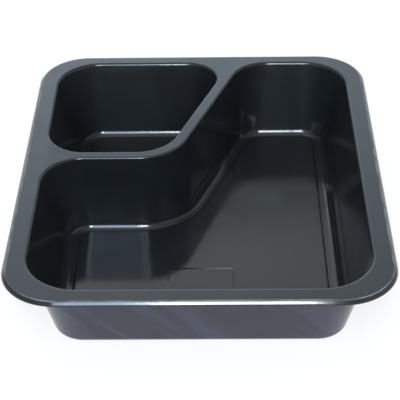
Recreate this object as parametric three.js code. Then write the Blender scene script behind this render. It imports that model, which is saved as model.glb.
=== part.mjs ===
import * as THREE from 'three';
import { toCreasedNormals } from 'three/addons/utils/BufferGeometryUtils.js';

// A sealable food tray, drawn in one piece from a black plastic sheet: a flat sealing face all round
// with its edge turned down into a slanting lip, a small pocket in the back left corner, a large
// L-shaped pocket round it, and a narrow hollow divider between them. Millimetres, Z up. The tray
// stands on Z = 0, X runs across it, Y runs along it, and +Y is the back.

const WIDTH = 178.8;
const LENGTH = 218.2;
const HEIGHT = 41;
const SHEET = 0.5;

// The lip: the edge of the sheet turns down round a small fold and ends in a short straight slant.
const OUTER_RADIUS = 26;
const FOLD_RADIUS = 1.4;
const LIP_SLANT = THREE.MathUtils.degToRad(48);
const LIP_STRAIGHT = 1.8;

// The sealing face ends in a rim line, where each pocket's rim rounds over into its wall.
const SIDE_FACE_WIDTH = 9.15;
const FRONT_FACE_WIDTH = 8.8;
const BACK_FACE_WIDTH = 7.6;

// The two kinds of wall: how far each leans out of upright, and its bends at the rim and the foot.
const OUTER_WALL = { draft: THREE.MathUtils.degToRad(15.3), rim: 1.6, foot: 3 };
const DIVIDER_WALL = { draft: THREE.MathUtils.degToRad(6.7), rim: 1, foot: 2 };

// The divider: one run across the tray, then a lean to the right towards the back.
const DIVIDER_LEAN = THREE.MathUtils.degToRad(20.8);
const DIVIDER_BACK_EDGE = 9.7;
const DIVIDER_FRONT_EDGE = 5.7;
const LEAN_MIDDLE_Y = 57.6;
const LEAN_LEFT_EDGE = 0.6;
const LEAN_RIGHT_EDGE = 5.3;

// The floor: a flat strip that the tray stands on, a small step up, and a panel inside it.
const STRIP_WIDTH = 2.8;
const STEP_WIDTH = 1.1;
const STEP_RISE = 0.6;

// A bare label plate, raised a little from the large floor near the front.
const PLATE = { x: 0, y: -44.9, width: 33.4, length: 21, radius: 2.5, rise: 0.35, slope: 0.4 };

// How finely the round stretches are cut into flats.
const CORNER_STEPS = 8;
const RIM_STEPS = 3;
const FOOT_STEPS = 3;
const FOLD_STEPS = 3;

const FACE_Z = HEIGHT;
const POCKET_DEPTH = HEIGHT - SHEET;
const RIM_X = WIDTH / 2 - SIDE_FACE_WIDTH;
const FRONT_RIM_Y = FRONT_FACE_WIDTH - LENGTH / 2;
const BACK_RIM_Y = LENGTH / 2 - BACK_FACE_WIDTH;

// A corner of an outline: its place, its radius and the wall that runs on from it.
function corner(x, y, radius, wall) {
  return { x, y, radius, wall };
}

// X of a leaning edge at a given Y, from its X at the middle of the lean.
function leanX(middleX, y) {
  return middleX + (y - LEAN_MIDDLE_Y) * Math.tan(DIVIDER_LEAN);
}

// The rim lines of the two pockets, as polygons with rounded corners, counter-clockwise.
const SMALL_POCKET = [
  corner(-RIM_X, DIVIDER_BACK_EDGE, 21, DIVIDER_WALL),
  corner(leanX(LEAN_LEFT_EDGE, DIVIDER_BACK_EDGE), DIVIDER_BACK_EDGE, 23, DIVIDER_WALL),
  corner(leanX(LEAN_LEFT_EDGE, BACK_RIM_Y), BACK_RIM_Y, 18, OUTER_WALL),
  corner(-RIM_X, BACK_RIM_Y, 24, OUTER_WALL),
];
const LARGE_POCKET = [
  corner(-RIM_X, FRONT_RIM_Y, 26, OUTER_WALL),
  corner(RIM_X, FRONT_RIM_Y, 26, OUTER_WALL),
  corner(RIM_X, BACK_RIM_Y, 25, OUTER_WALL),
  corner(leanX(LEAN_RIGHT_EDGE, BACK_RIM_Y), BACK_RIM_Y, 22, DIVIDER_WALL),
  corner(leanX(LEAN_RIGHT_EDGE, DIVIDER_FRONT_EDGE), DIVIDER_FRONT_EDGE, 25, DIVIDER_WALL),
  corner(-RIM_X, DIVIDER_FRONT_EDGE, 21, OUTER_WALL),
];

function rectangle(x, y, width, length, radius) {
  const [w, l] = [width / 2, length / 2];
  return [
    corner(x - w, y - l, radius),
    corner(x + w, y - l, radius),
    corner(x + w, y + l, radius),
    corner(x - w, y + l, radius),
  ];
}

// The outline with every side moved inwards by insetOf(side), as a ring of points. The number of
// points is always the same, so rings of one outline can be joined row by row. A corner that bends
// into the pocket gets rounder as it moves in, and the others get tighter.
function ringPoints(outline, insetOf) {
  const count = outline.length;
  return outline.flatMap((here, i) => {
    const before = outline[(i + count - 1) % count];
    const after = outline[(i + 1) % count];
    const at = new THREE.Vector2(here.x, here.y);
    const incoming = new THREE.Vector2(here.x - before.x, here.y - before.y).normalize();
    const outgoing = new THREE.Vector2(after.x - here.x, after.y - here.y).normalize();
    const insetIn = insetOf(before);
    const insetOut = insetOf(here);
    const turn = Math.atan2(incoming.cross(outgoing), incoming.dot(outgoing));
    const side = Math.sign(turn);
    const along = (insetOut - insetIn * Math.cos(turn)) / Math.sin(turn);
    const inward = new THREE.Vector2(-incoming.y, incoming.x);
    const moved = at.clone().addScaledVector(inward, insetIn).addScaledVector(incoming, -along);
    const radius = here.radius - side * (insetIn + insetOut) / 2;
    const start = moved.clone().addScaledVector(incoming, -radius * Math.tan(Math.abs(turn) / 2));
    const centre = start.clone().addScaledVector(inward, side * radius);
    return Array.from({ length: CORNER_STEPS + 1 }, (_, step) =>
      start.clone().rotateAround(centre, turn * step / CORNER_STEPS));
  });
}

// How far a wall has come in from the rim line, at a depth below the sealing face. It rounds over
// the rim, runs straight down at its draft and rounds out onto the floor. The underside follows the
// same centres of curvature one sheet further out.
function wallInset(depth, wall, sheet) {
  const bend = Math.tan((Math.PI / 2 - wall.draft) / 2);
  const rim = wall.rim - sheet;
  const foot = wall.foot + sheet;
  const footCentre = POCKET_DEPTH - wall.foot;
  if (depth < wall.rim - rim * Math.sin(wall.draft)) {
    return Math.sqrt(Math.max(rim ** 2 - (wall.rim - depth) ** 2, 0));
  }
  if (depth > footCentre + foot * Math.sin(wall.draft)) {
    return wallReach(wall) - Math.sqrt(Math.max(foot ** 2 - (depth - footCentre) ** 2, 0));
  }
  return wall.rim * bend + depth * Math.tan(wall.draft) - sheet / Math.cos(wall.draft);
}

// How far in from the rim line the floor begins.
function wallReach(wall) {
  return POCKET_DEPTH * Math.tan(wall.draft)
    + (wall.rim + wall.foot) * Math.tan((Math.PI / 2 - wall.draft) / 2);
}

// Depths of the rows down the walls, close together where either kind of wall bends.
function wallDepths(sheet) {
  const depths = [POCKET_DEPTH + sheet];
  [OUTER_WALL, DIVIDER_WALL].forEach((wall) => {
    const bend = Math.PI / 2 - wall.draft;
    for (let step = 1; step <= RIM_STEPS; step += 1) {
      depths.push(wall.rim - (wall.rim - sheet) * Math.cos(bend * step / RIM_STEPS));
    }
    for (let step = 1; step <= FOOT_STEPS; step += 1) {
      depths.push(POCKET_DEPTH - wall.foot + (wall.foot + sheet) * Math.cos(bend * step / FOOT_STEPS));
    }
  });
  return depths.sort((a, b) => a - b);
}

// Collects rings of points and the faces between them into one closed body.
class Sheet {
  positions = [];
  faces = [];

  ring(points, z) {
    const first = this.positions.length;
    points.forEach((point) => this.positions.push([point.x, point.y, z]));
    return { first, count: points.length, points };
  }

  // A band of faces between two rings. The faces look to the left of the way from one to the other.
  join(from, to) {
    for (let i = 0; i < from.count; i += 1) {
      const next = (i + 1) % from.count;
      this.faces.push([from.first + i, from.first + next, to.first + next]);
      this.faces.push([from.first + i, to.first + next, to.first + i]);
    }
  }

  // A flat face inside a ring, with other rings cut out of it, looking up or down.
  fill(edge, holes, up) {
    const rings = [edge, ...holes];
    const numbers = rings.flatMap((ring) => ring.points.map((_, i) => ring.first + i));
    const flat = rings.flatMap((ring) => ring.points);
    const triangles = THREE.ShapeUtils.triangulateShape(edge.points, holes.map((hole) => hole.points));
    triangles.forEach((triangle) => {
      const looksUp = !THREE.ShapeUtils.isClockWise(triangle.map((k) => flat[k]));
      const face = triangle.map((k) => numbers[k]);
      this.faces.push(looksUp === up ? face : face.reverse());
    });
  }

  geometry() {
    const geometry = new THREE.BufferGeometry();
    geometry.setAttribute('position', new THREE.Float32BufferAttribute(this.positions.flat(), 3));
    geometry.setIndex(this.faces.flat());
    return geometry;
  }
}

// One side of a pocket, from its rim line down to the step at the edge of the floor panel.
function addPocket(sheet, outline, thickness) {
  const rows = [sheet.ring(ringPoints(outline, () => 0), FACE_Z - thickness)];
  const addRow = (insetOf, z) => {
    rows.push(sheet.ring(ringPoints(outline, insetOf), z));
  };
  wallDepths(thickness).forEach((depth) => {
    addRow((side) => wallInset(depth, side.wall, thickness), FACE_Z - depth);
  });
  const floorZ = FACE_Z - POCKET_DEPTH - thickness;
  addRow((side) => wallReach(side.wall) + STRIP_WIDTH, floorZ);
  addRow((side) => wallReach(side.wall) + STRIP_WIDTH + STEP_WIDTH, floorZ + STEP_RISE);
  for (let i = 1; i < rows.length; i += 1) {
    if (thickness) {
      sheet.join(rows[i], rows[i - 1]);
    } else {
      sheet.join(rows[i - 1], rows[i]);
    }
  }
  return { rim: rows[0], panel: rows.at(-1), panelZ: floorZ + STEP_RISE };
}

// The floor panel of the large pocket, with the label plate standing up from it.
function addPlatePanel(sheet, pocket, up) {
  const plate = rectangle(PLATE.x, PLATE.y, PLATE.width, PLATE.length, PLATE.radius);
  const foot = sheet.ring(ringPoints(plate, () => 0), pocket.panelZ);
  const top = sheet.ring(ringPoints(plate, () => PLATE.slope), pocket.panelZ + PLATE.rise);
  sheet.fill(pocket.panel, [foot], up);
  if (up) {
    sheet.join(foot, top);
  } else {
    sheet.join(top, foot);
  }
  sheet.fill(top, [], up);
}

// The lip, from the sealing face over the fold, down the slant and back up under it.
function addLip(sheet) {
  const outline = rectangle(0, 0, WIDTH, LENGTH, OUTER_RADIUS);
  const foldInset = FOLD_RADIUS * Math.sin(LIP_SLANT) + LIP_STRAIGHT * Math.cos(LIP_SLANT);
  const addRow = (angle, straight, thickness) => {
    const radius = FOLD_RADIUS - thickness;
    const inset = foldInset - radius * Math.sin(angle) - straight * Math.cos(angle);
    const depth = FOLD_RADIUS - radius * Math.cos(angle) + straight * Math.sin(angle);
    return sheet.ring(ringPoints(outline, () => inset), FACE_Z - depth);
  };
  const angles = Array.from({ length: FOLD_STEPS + 1 }, (_, step) => LIP_SLANT * step / FOLD_STEPS);
  const rows = [
    ...angles.map((angle) => addRow(angle, 0, 0)),
    addRow(LIP_SLANT, LIP_STRAIGHT, 0),
    addRow(LIP_SLANT, LIP_STRAIGHT, SHEET),
    ...angles.reverse().map((angle) => addRow(angle, 0, SHEET)),
  ];
  for (let i = 1; i < rows.length; i += 1) {
    sheet.join(rows[i], rows[i - 1]);
  }
  return { top: rows[0], bottom: rows.at(-1) };
}

const sheet = new Sheet();
const lip = addLip(sheet);
[{ edge: lip.top, thickness: 0 }, { edge: lip.bottom, thickness: SHEET }].forEach(({ edge, thickness }) => {
  const up = thickness === 0;
  const small = addPocket(sheet, SMALL_POCKET, thickness);
  const large = addPocket(sheet, LARGE_POCKET, thickness);
  sheet.fill(edge, [small.rim, large.rim], up);
  sheet.fill(small.panel, [], up);
  addPlatePanel(sheet, large, up);
});

const plastic = new THREE.MeshStandardMaterial({ color: 0x15181b, roughness: 0.28, metalness: 0 });
const tray = new THREE.Mesh(toCreasedNormals(sheet.geometry(), THREE.MathUtils.degToRad(30)), plastic);
tray.name = 'tray';

const part = new THREE.Group();
part.name = 'two_pocket_food_tray';
part.add(tray);

export default part;
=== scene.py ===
import math

import bmesh
import bpy
from mathutils import Matrix, Vector


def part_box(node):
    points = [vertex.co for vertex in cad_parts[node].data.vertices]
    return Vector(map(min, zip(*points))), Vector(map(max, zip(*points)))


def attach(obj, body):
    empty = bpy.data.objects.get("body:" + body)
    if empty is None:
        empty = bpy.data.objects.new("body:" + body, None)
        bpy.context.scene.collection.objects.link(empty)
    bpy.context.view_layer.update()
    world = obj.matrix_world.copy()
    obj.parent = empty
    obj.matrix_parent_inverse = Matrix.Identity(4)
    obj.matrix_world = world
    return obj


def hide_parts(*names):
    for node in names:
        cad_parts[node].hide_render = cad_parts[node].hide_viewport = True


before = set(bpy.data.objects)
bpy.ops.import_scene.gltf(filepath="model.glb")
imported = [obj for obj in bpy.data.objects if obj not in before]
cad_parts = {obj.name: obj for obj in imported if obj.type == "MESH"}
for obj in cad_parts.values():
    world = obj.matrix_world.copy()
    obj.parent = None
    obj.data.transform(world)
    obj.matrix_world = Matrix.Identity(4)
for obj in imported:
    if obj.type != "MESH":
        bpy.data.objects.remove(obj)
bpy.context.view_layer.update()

# ------------------------------------------------------------------------------------------------
# The tray. One sheet of black polyester, drawn hot over a mould into two pockets with a hollow
# divider between them. The flat face round the top is what a film is sealed to, and its edge is
# turned down into a short slanting lip. X runs across, Y along to the back, Z up, in metres.
# ------------------------------------------------------------------------------------------------

MM = 0.001
tray_high = Vector(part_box("tray")[1])
face_z = tray_high.z
sheet = 0.5 * MM
pocket_depth = face_z - sheet

# Points nearer than a hair are one point, and the outer edge stands a hair inside its box.
hair = 0.01 * MM

edge_radius = 26
fold_radius = 1.4 * MM
lip_slant = math.radians(48)
lip_straight = 1.8 * MM
side_face_width = 9.15 * MM
front_face_width = 8.8 * MM
back_face_width = 7.6 * MM

divider_lean = math.radians(20.8)
divider_back_edge = 9.7 * MM
divider_front_edge = 5.7 * MM
lean_middle_y = 57.6 * MM
lean_left_edge = 0.6 * MM
lean_right_edge = 5.3 * MM

# The two kinds of wall: how far each leans out of upright, its bends at the rim and the foot, and
# the flat strip at its foot that the tray stands on.
outer_wall = {"draft": math.radians(15.3), "rim": 1.6 * MM, "foot": 4.2 * MM, "strip": 1.9 * MM}
divider_wall = {"draft": math.radians(6.7), "rim": 1 * MM, "foot": 3.6 * MM, "strip": 1.4 * MM}
step_width = 1.1 * MM
step_rise = 0.6 * MM

rim_x = tray_high.x - side_face_width
front_rim_y = front_face_width - tray_high.y
back_rim_y = tray_high.y - back_face_width


def lean_x(middle_x, y):
    """X of a leaning edge of the divider, from its X at the middle of the lean."""
    return middle_x + (y - lean_middle_y) * math.tan(divider_lean)


# A rim line is a polygon with rounded corners, counter-clockwise. Each corner has its place, its
# radius in millimetres, and whether the wall that runs on from it belongs to the divider. The front
# left corner of the large pocket comes first.
small_pocket = [
    ((-rim_x, divider_back_edge), 21, True),
    ((lean_x(lean_left_edge, divider_back_edge), divider_back_edge), 23, True),
    ((lean_x(lean_left_edge, back_rim_y), back_rim_y), 18, False),
    ((-rim_x, back_rim_y), 24, False),
]
large_pocket = [
    ((-rim_x, front_rim_y), 26, False),
    ((rim_x, front_rim_y), 26, False),
    ((rim_x, back_rim_y), 25, False),
    ((lean_x(lean_right_edge, back_rim_y), back_rim_y), 22, True),
    ((lean_x(lean_right_edge, divider_front_edge), divider_front_edge), 25, True),
    ((-rim_x, divider_front_edge), 21, False),
]


def rectangle(x, y, half_x, half_y, radius):
    """A rectangle with four round corners, its radius in millimetres."""
    ways = ((-1, -1), (1, -1), (1, 1), (-1, 1))
    return [((x + half_x * way_x, y + half_y * way_y), radius, False) for way_x, way_y in ways]


corner_steps = 24
side_step = 5 * MM


def ring(outline, outer_inset, divider_inset):
    """The outline moved inwards, by one distance at the outer walls and another at the divider."""
    insets = [divider_inset if of_divider else outer_inset for _, _, of_divider in outline]
    arcs = []
    for i, (place, radius, _) in enumerate(outline):
        here = Vector(place)
        incoming = (here - Vector(outline[i - 1][0])).normalized()
        outgoing = (Vector(outline[(i + 1) % len(outline)][0]) - here).normalized()
        turn = math.atan2(incoming.cross(outgoing), incoming.dot(outgoing))
        inward = Vector((-incoming.y, incoming.x))
        along = (insets[i] - insets[i - 1] * math.cos(turn)) / math.sin(turn)
        moved = here + inward * insets[i - 1] - incoming * along
        side = math.copysign(1, turn)
        reach = radius * MM - side * (insets[i] + insets[i - 1]) / 2
        start = moved - incoming * reach * math.tan(abs(turn) / 2)
        centre = start + inward * side * reach
        arcs.append([
            centre + Matrix.Rotation(turn * step / corner_steps, 2) @ (start - centre)
            for step in range(corner_steps + 1)
        ])
    points = []
    for i, arc in enumerate(arcs):
        after = arcs[(i + 1) % len(arcs)][0]
        length = (Vector(outline[(i + 1) % len(outline)][0]) - Vector(outline[i][0])).length
        pieces = max(2, round(length / side_step / 2))
        points += arc
        points += [arc[-1].lerp(after, k / pieces) for k in range(1, pieces)]
    return points


def line_object(name, outlines):
    """Closed lines of edges. Each point knows how it moves as each kind of wall comes inwards."""
    places, edges, outer_in, divider_in = [], [], [], []
    for outline in outlines:
        at_rest = ring(outline, 0, 0)
        first = len(places)
        count = len(at_rest)
        places += [point.to_3d() for point in at_rest]
        edges += [(first + i, first + (i + 1) % count) for i in range(count)]
        outer_in += [(b - a) / MM for a, b in zip(at_rest, ring(outline, MM, 0))]
        divider_in += [(b - a) / MM for a, b in zip(at_rest, ring(outline, 0, MM))]
    mesh = bpy.data.meshes.new(name)
    mesh.from_pydata(places, edges, [])
    for label, vectors in (("outer_in", outer_in), ("divider_in", divider_in)):
        layer = mesh.attributes.new(label, "FLOAT_VECTOR", "POINT")
        layer.data.foreach_set("vector", [value for v in vectors for value in v.to_3d()])
    line = bpy.data.objects.new(name, mesh)
    bpy.context.scene.collection.objects.link(line)
    return line


def section_object(name, cuts):
    """A section of the sheet. Each point is (inset of outer walls, inset of the divider, drop)."""
    mesh = bpy.data.meshes.new(name)
    mesh.from_pydata(cuts, [(i, i + 1) for i in range(len(cuts) - 1)], [])
    section = bpy.data.objects.new(name, mesh)
    bpy.context.scene.collection.objects.link(section)
    return section


def wall_reach(wall):
    """How far in from the rim line the floor begins."""
    bends = (wall["rim"] + wall["foot"]) * math.tan(math.pi / 4 - wall["draft"] / 2)
    return pocket_depth * math.tan(wall["draft"]) + bends


def wall_inset(depth, wall):
    """How far in a wall has come at a depth: round the rim, straight down, round out at its foot."""
    draft, rim, foot = wall["draft"], wall["rim"], wall["foot"]
    if depth < rim * (1 - math.sin(draft)):
        return math.sqrt(max(rim ** 2 - (rim - depth) ** 2, 0))
    if depth > pocket_depth - foot * (1 - math.sin(draft)):
        return wall_reach(wall) - math.sqrt(max(foot ** 2 - (depth - pocket_depth + foot) ** 2, 0))
    return rim * math.tan(math.pi / 4 - draft / 2) + depth * math.tan(draft)


# The walls' section, in close steps where either kind of wall bends. A narrow flat beside each bend
# keeps the sheen of the large flats even.
edge_flat = 0.35 * MM
bend_steps = 9
wall_steps = 12
step_steps = 8
depths = {0, pocket_depth}
for wall in (outer_wall, divider_wall):
    bend = math.pi / 2 - wall["draft"]
    for k in range(1, bend_steps + 1):
        rounded = 1 - math.cos(bend * k / bend_steps)
        depths |= {wall["rim"] * rounded, pocket_depth - wall["foot"] * rounded}
wall_top = outer_wall["rim"]
wall_run = pocket_depth - outer_wall["foot"] - wall_top
depths |= {wall_top + wall_run * k / wall_steps for k in range(wall_steps + 1)}

pocket_cuts = [(-edge_flat, -edge_flat, 0)]
pocket_cuts += [(wall_inset(d, outer_wall), wall_inset(d, divider_wall), d) for d in sorted(depths)]
strip_cuts = [(0, edge_flat, 0), (1, -edge_flat, 0)]
for k in range(step_steps + 1):
    share = k / step_steps
    strip_cuts.append((1, step_width * share, step_rise * (1 - math.cos(math.pi * share)) / 2))
strip_cuts.append((1, step_width + edge_flat, step_rise))
for across, past, rise in strip_cuts:
    insets = [wall_reach(wall) + wall["strip"] * across + past for wall in (outer_wall, divider_wall)]
    pocket_cuts.append((*insets, pocket_depth - rise))

# The lip's section: a flat, the fold round a small radius, and the straight slant below it.
fold_steps = 8
lip_reach = lip_straight * math.cos(lip_slant)
fold_inset = fold_radius * math.sin(lip_slant) + lip_reach
lip_cuts = [(fold_inset + edge_flat, 0)]
for k in range(fold_steps + 1):
    angle = lip_slant * k / fold_steps
    lip_cuts.append((fold_inset - fold_radius * math.sin(angle), fold_radius * (1 - math.cos(angle))))
fold_drop = lip_cuts[-1][1]
for share in (0.2, 0.6, 1):
    run = lip_straight * share
    lip_cuts.append((lip_reach * (1 - share), fold_drop + run * math.sin(lip_slant)))
lip_cuts = [(inset, 0, drop) for inset, drop in lip_cuts]

# The label plate stands up a little from the large floor near the front, and is bare.
plate_y = -44.9 * MM
plate_half_width = 16.7 * MM
plate_half_length = 10.5 * MM
plate_radius = 2.5
plate = rectangle(0, plate_y, plate_half_width, plate_half_length, plate_radius)
plate_rise = 0.12 * MM
plate_slope = 1.3 * MM
panel_drop = pocket_depth - step_rise
plate_cuts = [(-edge_flat, 0, panel_drop)]
for k in range(step_steps + 1):
    share = k / step_steps
    rise = plate_rise * (1 - math.cos(math.pi * share)) / 2
    plate_cuts.append((plate_slope * share, 0, panel_drop - rise))
plate_cuts.append((plate_slope + edge_flat, 0, panel_drop - plate_rise))


def add(tree, kind, links=(), **settings):
    """Adds a node, sets it, and joins its inputs, given as (input, source socket or value)."""
    node = tree.nodes.new(kind)
    for key, value in settings.items():
        setattr(node, key, value)
    for socket, source in links:
        if isinstance(source, bpy.types.NodeSocket):
            tree.links.new(source, node.inputs[socket])
        else:
            node.inputs[socket].default_value = source
    return node


def new_tree(name, inputs):
    """A geometry tree with named inputs and one output, with its input sockets and its output node."""
    tree = bpy.data.node_groups.new(name, "GeometryNodeTree")
    for label, kind in inputs:
        tree.interface.new_socket(label, in_out="INPUT", socket_type=kind)
    tree.interface.new_socket("Geometry", in_out="OUTPUT", socket_type="NodeSocketGeometry")
    return tree, tree.nodes.new("NodeGroupInput").outputs, tree.nodes.new("NodeGroupOutput")


def named(tree, label):
    """A vector that the points carry under a name."""
    node = add(tree, "GeometryNodeInputNamedAttribute", [("Name", label)], data_type="FLOAT_VECTOR")
    return node.outputs[0]


def stored(tree, geometry, label, value):
    """The geometry with a vector written on its points under a name."""
    return add(tree, "GeometryNodeStoreNamedAttribute", [
        ("Geometry", geometry), ("Name", label), ("Value", value),
    ], data_type="FLOAT_VECTOR", domain="POINT").outputs[0]


def vector_sum(tree, first, second):
    return add(tree, "ShaderNodeVectorMath", [(0, first), (1, second)], operation="ADD").outputs[0]


def scaled(tree, vector, factor):
    return add(tree, "ShaderNodeVectorMath", [(0, vector), ("Scale", factor)], operation="SCALE").outputs[0]


def arithmetic(tree, operation, first, second):
    return add(tree, "ShaderNodeMath", [(0, first), (1, second)], operation=operation).outputs[0]


def offset(tree, geometry, vector):
    """The geometry moved by a vector."""
    return add(tree, "GeometryNodeSetPosition", [("Geometry", geometry), ("Offset", vector)]).outputs[0]


# Moves the points of a line or a sheet to where the mould puts them: each to its place on the rim
# line, inwards by its two insets, and down by its drop.
place_tree, place_in, place_out = new_tree("place on mould", [
    ("Geometry", "NodeSocketGeometry"), ("Rim", "NodeSocketVector"), ("Cut", "NodeSocketVector"),
])
cut = add(place_tree, "ShaderNodeSeparateXYZ", [(0, place_in["Cut"])]).outputs
outer_move = scaled(place_tree, named(place_tree, "outer_in"), cut["X"])
divider_move = scaled(place_tree, named(place_tree, "divider_in"), cut["Y"])
drop = arithmetic(place_tree, "MULTIPLY", cut["Z"], -1.0)
drop = add(place_tree, "ShaderNodeCombineXYZ", [("Z", drop)]).outputs[0]
moved = place_in["Rim"]
for move in (outer_move, divider_move, drop):
    moved = vector_sum(place_tree, moved, move)
moved = add(place_tree, "GeometryNodeSetPosition", [
    ("Geometry", place_in["Geometry"]), ("Position", moved),
]).outputs[0]
place_tree.links.new(moved, place_out.inputs[0])

# Sweeps a section of the sheet along a line.
band_tree, band_in, band_out = new_tree("band along a line", [
    ("Line", "NodeSocketGeometry"), ("Section", "NodeSocketObject"),
])
rail = add(band_tree, "GeometryNodeMeshToCurve", [("Mesh", band_in["Line"])]).outputs[0]
position = add(band_tree, "GeometryNodeInputPosition").outputs[0]
rail = stored(band_tree, rail, "rim", position)
section = add(band_tree, "GeometryNodeObjectInfo", [("Object", band_in["Section"])]).outputs["Geometry"]
section = add(band_tree, "GeometryNodeMeshToCurve", [("Mesh", section)]).outputs[0]
section = stored(band_tree, section, "cut", position)
swept = add(band_tree, "GeometryNodeCurveToMesh", [("Curve", rail), ("Profile Curve", section)]).outputs[0]
band = add(band_tree, "GeometryNodeGroup", node_tree=place_tree)
band_tree.links.new(swept, band.inputs["Geometry"])
band_tree.links.new(named(band_tree, "rim"), band.inputs["Rim"])
band_tree.links.new(named(band_tree, "cut"), band.inputs["Cut"])
band_tree.links.new(band.outputs[0], band_out.inputs[0])

# Fills the flat between lines, each moved in to where its band ends, at the level of the last one.
flat_tree, flat_in, flat_out = new_tree("flat inside lines", [
    ("Line", "NodeSocketGeometry"), ("Line Cut", "NodeSocketVector"),
    ("Hole", "NodeSocketGeometry"), ("Hole Cut", "NodeSocketVector"),
])
position = add(flat_tree, "GeometryNodeInputPosition").outputs[0]
lines = add(flat_tree, "GeometryNodeJoinGeometry").inputs[0]
for label in ("Line", "Hole"):
    level = add(flat_tree, "ShaderNodeVectorMath", [
        (0, flat_in[label + " Cut"]), (1, (1, 1, 0)),
    ], operation="MULTIPLY").outputs[0]
    placed = add(flat_tree, "GeometryNodeGroup", node_tree=place_tree)
    flat_tree.links.new(flat_in[label], placed.inputs["Geometry"])
    flat_tree.links.new(position, placed.inputs["Rim"])
    flat_tree.links.new(level, placed.inputs["Cut"])
    curve = add(flat_tree, "GeometryNodeMeshToCurve", [("Mesh", placed.outputs[0])]).outputs[0]
    flat_tree.links.new(curve, lines)
flat = add(flat_tree, "GeometryNodeFillCurve", [("Curve", lines.node.outputs[0])]).outputs[0]
level = add(flat_tree, "ShaderNodeVectorMath", [
    (0, flat_in["Line Cut"]), (1, (0, 0, -1)),
], operation="MULTIPLY").outputs[0]
flat_tree.links.new(offset(flat_tree, flat, level), flat_out.inputs[0])

# The whole sheet: three bands and three flats, joined edge to edge, set on the mould at the height
# of the sealing face, with a slight ripple where the hot sheet was drawn down.
sheet_tree, sheet_in, sheet_out = new_tree("formed sheet", [
    ("Geometry", "NodeSocketGeometry"),
    ("Edge Line", "NodeSocketObject"), ("Plate Line", "NodeSocketObject"),
    ("Pocket Section", "NodeSocketObject"), ("Lip Section", "NodeSocketObject"),
    ("Plate Section", "NodeSocketObject"),
    ("Rim Cut", "NodeSocketVector"), ("Floor Cut", "NodeSocketVector"), ("Lip Cut", "NodeSocketVector"),
    ("Plate Foot Cut", "NodeSocketVector"), ("Plate Top Cut", "NodeSocketVector"),
    ("Face Height", "NodeSocketFloat"), ("Ripple", "NodeSocketFloat"), ("Seed", "NodeSocketFloat"),
    ("Plastic", "NodeSocketMaterial"),
])
pockets = sheet_in["Geometry"]
edge_line, plate_line = (
    add(sheet_tree, "GeometryNodeObjectInfo", [("Object", sheet_in[label])]).outputs["Geometry"]
    for label in ("Edge Line", "Plate Line")
)
whole = add(sheet_tree, "GeometryNodeJoinGeometry")
for line, label in ((pockets, "Pocket Section"), (edge_line, "Lip Section"), (plate_line, "Plate Section")):
    band = add(sheet_tree, "GeometryNodeGroup", node_tree=band_tree)
    sheet_tree.links.new(line, band.inputs["Line"])
    sheet_tree.links.new(sheet_in[label], band.inputs["Section"])
    sheet_tree.links.new(band.outputs[0], whole.inputs[0])
for line, line_cut, hole, hole_cut in (
    (edge_line, "Lip Cut", pockets, "Rim Cut"),
    (pockets, "Floor Cut", plate_line, "Plate Foot Cut"),
    (plate_line, "Plate Top Cut", None, None),
):
    flat = add(sheet_tree, "GeometryNodeGroup", node_tree=flat_tree)
    sheet_tree.links.new(line, flat.inputs["Line"])
    sheet_tree.links.new(sheet_in[line_cut], flat.inputs["Line Cut"])
    if hole:
        sheet_tree.links.new(hole, flat.inputs["Hole"])
        sheet_tree.links.new(sheet_in[hole_cut], flat.inputs["Hole Cut"])
    sheet_tree.links.new(flat.outputs[0], whole.inputs[0])
joined = add(sheet_tree, "GeometryNodeMergeByDistance", [
    ("Geometry", whole.outputs[0]), ("Distance", hair),
]).outputs[0]
lift = add(sheet_tree, "ShaderNodeCombineXYZ", [("Z", sheet_in["Face Height"])]).outputs[0]
joined = offset(sheet_tree, joined, lift)
joined = add(sheet_tree, "GeometryNodeSetShadeSmooth", [("Geometry", joined)]).outputs[0]

# The ripple fades out towards the sealing face and towards the foot, so both stay flat.
ripple_fade = 8 * MM
waves = add(sheet_tree, "ShaderNodeTexNoise", [
    ("W", sheet_in["Seed"]), ("Scale", 45.0), ("Detail", 1.0),
], noise_dimensions="4D").outputs["Fac"]
waves = arithmetic(sheet_tree, "SUBTRACT", waves, 0.5)
waves = arithmetic(sheet_tree, "MULTIPLY", waves, sheet_in["Ripple"])
level = add(sheet_tree, "GeometryNodeInputPosition").outputs[0]
level = add(sheet_tree, "ShaderNodeSeparateXYZ", [(0, level)]).outputs["Z"]
for start, end in ((sheet, ripple_fade), (face_z, face_z - ripple_fade)):
    share = add(sheet_tree, "ShaderNodeMapRange", [
        ("Value", level), ("From Min", start), ("From Max", end),
    ], interpolation_type="SMOOTHSTEP").outputs[0]
    waves = arithmetic(sheet_tree, "MULTIPLY", waves, share)
outward = add(sheet_tree, "GeometryNodeInputNormal").outputs[0]
joined = offset(sheet_tree, joined, scaled(sheet_tree, outward, waves))
joined = add(sheet_tree, "GeometryNodeRealizeInstances", [("Geometry", joined)]).outputs[0]
joined = add(sheet_tree, "GeometryNodeSetMaterial", [
    ("Geometry", joined), ("Material", sheet_in["Plastic"]),
]).outputs[0]
sheet_tree.links.new(joined, sheet_out.inputs[0])

# The plastic: near-black through and through with a cold tint. It is glossy in the pockets, where it
# lay against the polished mould, and satin on the sealing face, most of all across the divider. All of
# it has a soft haze, a slight unevenness from the drawing, and here and there a speck of dust.
plastic = bpy.data.materials.new("black formed plastic")
plastic.use_nodes = True
finish = plastic.node_tree
surface = finish.nodes["Principled BSDF"]
surface.inputs["IOR"].default_value = 1.5
surface.inputs["Coat Roughness"].default_value = 0.5
place = add(finish, "ShaderNodeTexCoord").outputs["Object"]


def noise(tree, vector, scale, detail=2.0):
    return add(tree, "ShaderNodeTexNoise", [
        ("Vector", vector), ("Scale", scale), ("Detail", detail),
    ]).outputs["Fac"]


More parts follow.
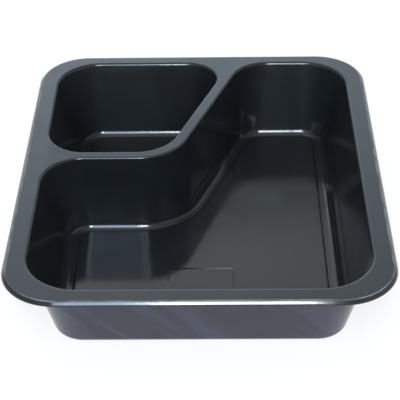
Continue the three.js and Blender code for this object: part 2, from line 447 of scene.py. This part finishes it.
def remap(tree, value, low, high, out_low, out_high):
    """Goes softly from out_low to out_high while the value goes from low to high."""
    return add(tree, "ShaderNodeMapRange", [
        ("Value", value), ("From Min", low), ("From Max", high), ("To Min", out_low), ("To Max", out_high),
    ], interpolation_type="SMOOTHSTEP").outputs[0]


def mixed(tree, share, first, second):
    """A colour between two."""
    node = add(tree, "ShaderNodeMix", [("Factor", share), (6, first), (7, second)], data_type="RGBA")
    return node.outputs[2]


across, along, height = add(finish, "ShaderNodeSeparateXYZ", [(0, place)]).outputs
on_face = remap(finish, height, face_z - 0.5 * MM, face_z - 0.1 * MM, 0.0, 1.0)
clouds = noise(finish, place, 30.0)
grain = noise(finish, place, 2200.0)
ripples = noise(finish, place, 70.0)

deep_black = (0.0065, 0.0085, 0.0105, 1)
cloudy_black = (0.009, 0.0115, 0.014, 1)
free_side_dark = (0.004, 0.0065, 0.02, 1)
free_side_reflection_light = (0.023, 0.027, 0.056, 1)
fold_highlight_grey = (0.2, 0.215, 0.23, 1)
dust_grey = (0.12, 0.13, 0.14, 1)
body_colour = mixed(finish, remap(finish, clouds, 0.35, 0.7, 0.0, 1.0), deep_black, cloudy_black)

# The free side of the sheet never touched the mould. It is greyer there and has less haze. Soft lighter
# slanting bands are painted on it: a painted reflection of the table in the outer wall.
free_side = add(finish, "ShaderNodeAttribute", attribute_name="free_side").outputs["Fac"]
band_slant = math.radians(-42)
band_size = (10 * MM, 20 * MM, 70 * MM)
slanting = add(finish, "ShaderNodeMapping", [
    ("Vector", place), ("Rotation", (0, band_slant, 0)), ("Scale", band_size),
], vector_type="TEXTURE").outputs[0]
# Painted reflection: lighter slanting bands across the free side.
reflection_bands = remap(finish, noise(finish, slanting, 1.0, 1.0), 0.44, 0.56, 0.1, 0.8)
reflection_bands = arithmetic(finish, "ADD", reflection_bands, remap(finish, grain, 0.3, 0.7, -0.2, 0.2))
reflection_band_colour = mixed(finish, reflection_bands, free_side_dark, free_side_reflection_light)
body_colour = mixed(finish, free_side, body_colour, reflection_band_colour)
finish.links.new(remap(finish, free_side, 0.0, 1.0, 0.3, 0.1), surface.inputs["Coat Weight"])

# The fold of the lip is painted a little lighter, unevenly: a painted highlight along the fold.
edge_inset = add(finish, "ShaderNodeAttribute", attribute_name="edge_inset").outputs["Fac"]
past_slant = remap(finish, edge_inset, 1.3, 1.75, 0.0, 1.0)
before_face = remap(finish, edge_inset, 1.95, 2.3, 1.0, 0.0)
unevenly = remap(finish, noise(finish, place, 90.0), 0.35, 0.65, 0.3, 1.0)
# Painted highlight: the fold of the lip made lighter, unevenly.
fold_highlight = arithmetic(finish, "MULTIPLY", arithmetic(finish, "MULTIPLY", past_slant, before_face), unevenly)
body_colour = mixed(finish, fold_highlight, body_colour, fold_highlight_grey)

# Dust lies in a few of many small cells, as a dot at the cell's middle.
specks = add(finish, "ShaderNodeTexVoronoi", [("Vector", place), ("Scale", 250.0)])
chosen = add(finish, "ShaderNodeSeparateColor", [(0, specks.outputs["Color"])]).outputs[0]
chosen = arithmetic(finish, "GREATER_THAN", chosen, 0.85)
near = remap(finish, specks.outputs["Distance"], 0.02, 0.045, 1.0, 0.0)
dust = arithmetic(finish, "MULTIPLY", chosen, near)
finish.links.new(mixed(finish, dust, body_colour, dust_grey), surface.inputs["Base Color"])

# The sheen: glossy below, satin on the face, and more so across the divider.
gloss = remap(finish, clouds, 0.3, 0.7, 0.07, 0.12)
satin = remap(finish, clouds, 0.3, 0.7, 0.33, 0.39)
aside = arithmetic(finish, "ABSOLUTE", across, 0.0)
lengthways = arithmetic(finish, "ABSOLUTE", along, 0.0)
inside_x = remap(finish, aside, 77 * MM, 79 * MM, 0.09, 0.0)
inside_y = remap(finish, lengthways, 30 * MM, 50 * MM, 1.0, 0.0)
satin = arithmetic(finish, "ADD", satin, arithmetic(finish, "MULTIPLY", inside_x, inside_y))
roughness = add(finish, "ShaderNodeMix", [
    ("Factor", on_face), (2, gloss), (3, satin),
], data_type="FLOAT").outputs[0]
roughness = arithmetic(finish, "ADD", roughness, remap(finish, grain, 0.3, 0.7, -0.035, 0.035))
finish.links.new(roughness, surface.inputs["Roughness"])

grain_height = 0.02 * MM
ripple_height = 0.06 * MM
fine = add(finish, "ShaderNodeBump", [
    ("Height", grain), ("Strength", 0.5), ("Distance", grain_height),
]).outputs[0]
wavy = add(finish, "ShaderNodeBump", [
    ("Height", ripples), ("Strength", 1.0), ("Distance", ripple_height), ("Normal", fine),
]).outputs[0]
finish.links.new(wavy, surface.inputs["Normal"])

# The sheet is formed: the trees run on the pockets' lines and give one plain mesh.

pocket_lines = line_object("pocket lines", [small_pocket, large_pocket])
edge_outline = rectangle(0, 0, tray_high.x - hair, tray_high.y - hair, edge_radius)
edge_object = line_object("edge line", [edge_outline])
plate_object = line_object("plate line", [plate])
pocket_section = section_object("pocket section", pocket_cuts)
lip_section = section_object("lip section", lip_cuts)
plate_section = section_object("plate section", plate_cuts)
forming = pocket_lines.modifiers.new("forming", "NODES")
forming.node_group = sheet_tree
ripple = 0.35 * MM
settings = {
    "Edge Line": edge_object, "Plate Line": plate_object,
    "Pocket Section": pocket_section, "Lip Section": lip_section, "Plate Section": plate_section,
    "Rim Cut": pocket_cuts[0], "Floor Cut": pocket_cuts[-1], "Lip Cut": lip_cuts[0],
    "Plate Foot Cut": plate_cuts[0], "Plate Top Cut": plate_cuts[-1],
    "Face Height": face_z, "Ripple": ripple, "Seed": 7.0, "Plastic": plastic,
}
for item in sheet_tree.interface.items_tree:
    if item.in_out == "INPUT" and item.name in settings:
        forming[item.identifier] = settings[item.name]
formed = pocket_lines.evaluated_get(bpy.context.evaluated_depsgraph_get())
tray_mesh = bpy.data.meshes.new_from_object(formed)
tray_mesh.name = "formed tray"
for helper in (pocket_lines, edge_object, plate_object, pocket_section, lip_section, plate_section):
    bpy.data.objects.remove(helper)

# All faces are turned one way, and then up, by the widest face of the sealing face.
work = bmesh.new()
work.from_mesh(tray_mesh)
bmesh.ops.recalc_face_normals(work, faces=work.faces)
on_top = [face for face in work.faces if face.calc_center_median().z > face_z - MM / 10]
widest = max(on_top, key=lambda face: face.calc_area())
if widest.normal.z < 0:
    bmesh.ops.reverse_faces(work, faces=work.faces)
work.to_mesh(tray_mesh)
work.free()

# The sheet's thickness grows away from the mould side.
tray = bpy.data.objects.new("tray_sheet", tray_mesh)
bpy.context.scene.collection.objects.link(tray)
thickness = tray.modifiers.new("thickness", "SOLIDIFY")
thickness.thickness = sheet
thickness.offset = -1
thickness.use_even_offset = True
thickened = tray.evaluated_get(bpy.context.evaluated_depsgraph_get())
thick_mesh = bpy.data.meshes.new_from_object(thickened)
thick_mesh.name = "tray sheet"
tray.modifiers.remove(thickness)
tray.data = thick_mesh

# The thickened mesh lists the points of the mould side first, and those of the free side after them.
mould_side_points = len(tray_mesh.vertices)
layer = thick_mesh.attributes.new("free_side", "FLOAT", "POINT")
layer.data.foreach_set("value", [float(i >= mould_side_points) for i in range(len(thick_mesh.vertices))])

# Each point also knows how far in from the outer edge it lies, in millimetres, for the painted highlight on
# the fold.
insets = []
for vertex in thick_mesh.vertices:
    past_x = (abs(vertex.co.x) - tray_high.x) / MM + edge_radius
    past_y = (abs(vertex.co.y) - tray_high.y) / MM + edge_radius
    past = math.hypot(max(past_x, 0), max(past_y, 0)) + min(max(past_x, past_y), 0)
    insets.append(edge_radius - past)
layer = thick_mesh.attributes.new("edge_inset", "FLOAT", "POINT")
layer.data.foreach_set("value", insets)

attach(tray, "root")
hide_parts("tray")

# ------------------------------------------------------------------------------------------------
# The floor is a plain white table top, far larger than the view. It glows a little, as a table lit
# from below does, so the tray throws hardly any shadow on it.
# ------------------------------------------------------------------------------------------------

floor_half = 3.0
floor_mesh = bpy.data.meshes.new("floor")
floor_corners = [(-floor_half, -floor_half, 0), (floor_half, -floor_half, 0)]
floor_corners += [(floor_half, floor_half, 0), (-floor_half, floor_half, 0)]
floor_mesh.from_pydata(floor_corners, [], [(0, 1, 2, 3)])
floor = bpy.data.objects.new("floor", floor_mesh)
bpy.context.scene.collection.objects.link(floor)
paint = bpy.data.materials.new("white table top")
paint.use_nodes = True
table_top = paint.node_tree.nodes["Principled BSDF"].inputs
table_top["Base Color"].default_value = (0.25, 0.25, 0.25, 1)
table_top["Roughness"].default_value = 0.9
table_top["Emission Color"].default_value = (1, 1, 1, 1)
table_top["Emission Strength"].default_value = 0.78
floor_mesh.materials.append(paint)

# ------------------------------------------------------------------------------------------------
# Light: a pale room, brighter to the left. Behind the tray it has a bright backdrop up to the level of
# the view, a dark gap just above that, and a bright wall over it that fades upwards. A window lights it
# from the right. In front are soft panels, two tall narrow strips, and low lights for the lip.
# ------------------------------------------------------------------------------------------------

world = bpy.data.worlds.new("studio")
bpy.context.scene.world = world
world.use_nodes = True
sky = world.node_tree
sky.nodes["Background"].inputs["Strength"].default_value = 1.0
looking = add(sky, "ShaderNodeTexCoord").outputs["Generated"]
way = add(sky, "ShaderNodeSeparateXYZ", [(0, looking)]).outputs


def by_elevation(factor, stops):
    """A colour for each elevation in degrees above the level, for a factor that is its sine."""
    node = add(sky, "ShaderNodeValToRGB", [("Fac", factor)])
    elements = node.color_ramp.elements
    while len(elements) < len(stops):
        elements.new(0.5)
    for element, (elevation, colour) in zip(elements, stops):
        element.position = math.sin(math.radians(elevation))
        element.color = (*colour, 1)
    return node.outputs["Color"]


ceiling = (0.88, 0.88, 0.88)
dark_gap = (0.3, 0.35, 0.38)
window = (0.95, 1.0, 1.04, 1)
behind = by_elevation(way["Z"], [
    (0, (1.75, 2.1, 2.45)),
    (32.6, (1.95, 2.3, 2.65)),
    (33.6, dark_gap),
    (35.9, dark_gap),
    (36.6, (0.78, 0.82, 0.82)),
    (37.6, (1.22, 1.28, 1.27)),
    (41, (0.84, 0.89, 0.89)),
    (46, (0.5, 0.51, 0.48)),
    (58, (0.3, 0.3, 0.28)),
    (75, ceiling),
])
around = by_elevation(way["Z"], [(0, (0.34, 0.37, 0.39)), (60, (0.32, 0.33, 0.33)), (75, ceiling)])
towards_back = remap(sky, way["Y"], 0.0, 0.4, 0.0, 1.0)
sideways = arithmetic(sky, "ABSOLUTE", way["X"], 0.0)
near_middle = remap(sky, sideways, 0.12, 0.5, 1.0, 0.0)
room = mixed(sky, arithmetic(sky, "MULTIPLY", towards_back, near_middle), around, behind)
window_across = remap(sky, way["X"], 0.45, 0.6, 0.0, 1.0)
window_height = remap(sky, way["Z"], 0.64, 0.7, 1.0, 0.0)
room = mixed(sky, arithmetic(sky, "MULTIPLY", window_across, window_height), room, window)
darker_right = remap(sky, way["X"], -0.25, 0.25, 1.25, 0.68)
room = add(sky, "ShaderNodeVectorMath", [(0, room), ("Scale", darker_right)], operation="SCALE").outputs[0]
sky.links.new(room, sky.nodes["Background"].inputs["Color"])


light_distance = 1.3


def soft_light(name, across, degrees, width, height, radiance, colour):
    """A rectangle of light in front of the tray, at an elevation in degrees, turned to face it."""
    light = bpy.data.lights.new(name, "AREA")
    light.shape = "RECTANGLE"
    light.size = width
    light.size_y = height
    light.color = colour
    light.energy = radiance * math.pi * width * height
    lamp = bpy.data.objects.new(name, light)
    bpy.context.scene.collection.objects.link(lamp)
    elevation = math.radians(degrees)
    away = Vector((across, -light_distance * math.cos(elevation), light_distance * math.sin(elevation)))
    lamp.location = Vector((0, 0, face_z)) + away
    lamp.rotation_euler = away.to_track_quat("Z", "Y").to_euler()


near_white = (0.97, 0.98, 1.0)
cold_white = (0.9, 0.95, 1.0)
cool_blue = (0.78, 0.9, 1.0)
light_blue = (0.7, 0.86, 1.0)
pale_blue = (0.55, 0.78, 1.0)
soft_light("middle panel", 0.02, 36, 0.18, 0.6, 13, cold_white)
soft_light("side panel", -0.17, 36, 0.18, 0.6, 7, pale_blue)
soft_light("upper panel", -0.06, 56, 0.5, 0.2, 8, light_blue)
soft_light("blue panel", -0.15, 49, 0.1, 0.12, 8, pale_blue)
soft_light("left strip", -0.05, 40, 0.035, 0.75, 24, cool_blue)
soft_light("right strip", 0.12, 40, 0.035, 0.75, 24, cool_blue)
soft_light("lip light", 0.03, 40.7, 0.22, 0.1, 22, near_white)
soft_light("blue lip light", -0.165, 40.7, 0.22, 0.1, 6, pale_blue)

# ------------------------------------------------------------------------------------------------
# Camera: a long lens looking down the length of the tray at about 35 degrees.
# ------------------------------------------------------------------------------------------------

picture_width = 400
lens_in_pixels = 1317.8
camera_roll = math.radians(-0.95)
camera_data = bpy.data.cameras.new("camera")
camera_data.sensor_width = 36
camera_data.lens = lens_in_pixels / picture_width * camera_data.sensor_width
camera_data.clip_start = 0.01
camera = bpy.data.objects.new("camera", camera_data)
bpy.context.scene.collection.objects.link(camera)
face_middle = Vector((0, 0, face_z))
camera.location = face_middle + Vector((8.95, -548.4, 368.6)) * MM
looked_at = face_middle + Vector((-0.05, -32.2, 0)) * MM
aim = (looked_at - camera.location).to_track_quat("-Z", "Y").to_matrix()
camera.rotation_euler = (aim @ Matrix.Rotation(camera_roll, 3, "Z")).to_euler()
bpy.context.scene.camera = camera
bpy.context.scene.view_settings.view_transform = "Standard"
